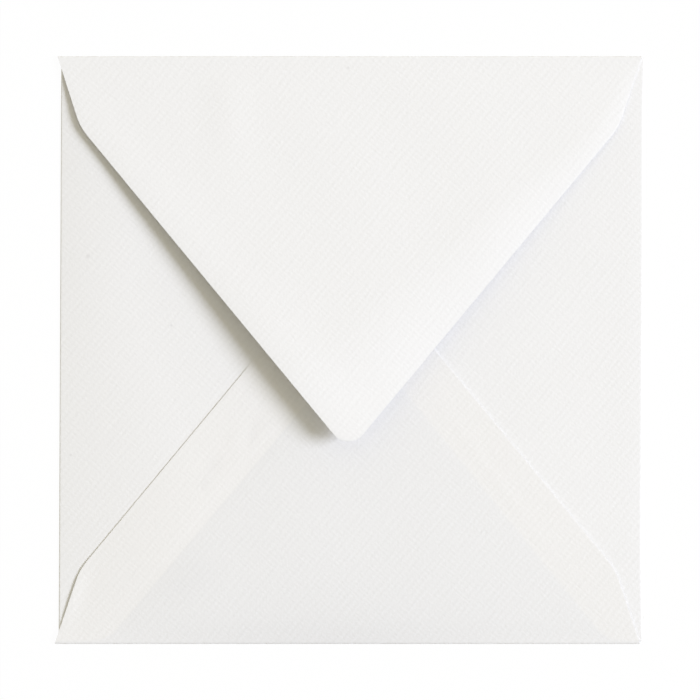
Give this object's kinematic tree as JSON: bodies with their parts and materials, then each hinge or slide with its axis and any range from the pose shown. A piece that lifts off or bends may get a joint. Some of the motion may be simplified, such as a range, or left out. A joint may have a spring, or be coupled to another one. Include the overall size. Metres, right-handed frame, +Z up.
{
  "type": "paper envelope",
  "caption": "Square cream-white paper envelope folded from one die-cut sheet, with glued side and bottom flaps and a deep pointed top flap that stands open slightly.",
  "frame": {"origin": "middle of the front panel's outer face, which is the face that the envelope lies on", "axes": "+Z up, out of the back with the flaps; +Y towards the top fold, where the pointed flap hinges; +X to the right with the flap's tip pointing down"},
  "size_m": [0.1556, 0.156, 0.0078],
  "materials": {
    "paper": "matte"
  },
  "bodies": {
    "root": {"envelope": "paper"}
  },
  "joints": []
}
